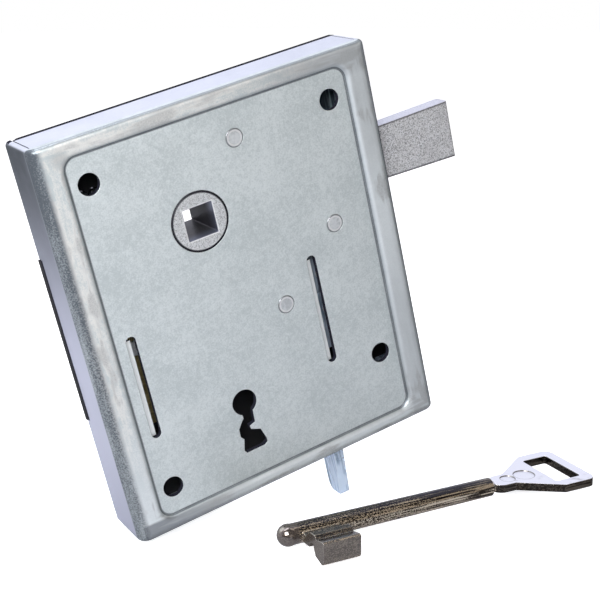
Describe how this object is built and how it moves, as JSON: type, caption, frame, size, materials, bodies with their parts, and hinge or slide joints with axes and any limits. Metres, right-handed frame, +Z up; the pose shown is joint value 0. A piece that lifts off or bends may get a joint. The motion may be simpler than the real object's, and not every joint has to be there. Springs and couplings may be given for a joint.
{
  "type": "rim box lock",
  "caption": "Rim box lock in a folded galvanised case, with a sprung latch, a key-thrown deadbolt, a night bolt with a thumb tab, and its key lying beside it.",
  "frame": {"origin": "on the spindle axis, in the plane of the cover that lies on the door", "axes": "+X towards the side the bolts leave, +Y from the lock into the door, +Z up"},
  "size_m": [0.1204, 0.0483, 0.1314],
  "materials": {
    "galvanised_sheet": "zinc-coated folded sheet, satin, faintly mottled",
    "zinc_casting": "die-cast zinc, finely speckled",
    "bolt_steel": "zinc-plated steel, lightly streaked",
    "plain_steel": "turned steel, dull",
    "spring_steel": "drawn wire, smooth",
    "lever_brass": "stamped, dull yellow",
    "key_nickel": "nickel plate, glossy with handling wear"
  },
  "bodies": {
    "case": {"case_shell": "galvanised_sheet", "cover_plate": "galvanised_sheet", "latch_tail_post": "plain_steel", "divider_post": "plain_steel", "lever_post": "plain_steel", "latch_spring": "spring_steel", "latch_spring_stud": "plain_steel", "tumbler_spring": "spring_steel", "bolt_guide_bracket": "galvanised_sheet", "bracket_rivets": "plain_steel", "night_bolt_stud": "plain_steel", "night_bolt_spring": "spring_steel"},
    "follower": {"follower": "zinc_casting"},
    "latch": {"latch_bolt": "zinc_casting"},
    "tumbler": {"tumbler_lever": "lever_brass"},
    "deadbolt": {"deadbolt_tail": "bolt_steel", "deadbolt_head": "bolt_steel", "deadbolt_rivets": "plain_steel", "lever_stump": "plain_steel"},
    "night_bolt": {"night_bolt": "bolt_steel"},
    "key": {"key": "key_nickel"}
  },
  "joints": [
    {"name": "follower_turn", "type": "hinge", "parent": "case", "child": "follower", "pos_m": [0, -0.008, 0], "axis": [0, -1, 0], "range_deg": [0, 40]},
    {"name": "latch_slide", "type": "slide", "parent": "case", "child": "latch", "axis": [-1, 0, 0], "range_m": [0, 0.01505], "stiffness_N_per_m": 40, "springref_m": -0.01, "deforming": ["latch_spring"]},
    {"name": "deadbolt_slide", "type": "slide", "parent": "case", "child": "deadbolt", "axis": [1, 0, 0], "range_m": [0, 0.014]},
    {"name": "tumbler_lift", "type": "hinge", "parent": "case", "child": "tumbler", "pos_m": [0.0175, -0.0102, -0.0293], "axis": [0, 1, 0], "range_deg": [0, 5.5], "deforming": ["tumbler_spring"]},
    {"name": "night_bolt_slide", "type": "slide", "parent": "case", "child": "night_bolt", "axis": [1, 0, 0], "range_m": [0, 0.01]},
    {"name": "key_lift", "type": "slide", "parent": "case", "child": "key", "axis": [0, 0, 1], "range_m": [0, 0.06]}
  ],
  "couplings": [
    {"joint": "follower_turn", "follows": "latch_slide", "rad_per_m": 46.387},
    {"joint": "tumbler_lift", "follows": "deadbolt_slide", "rad_per_m": 6.8566}
  ]
}
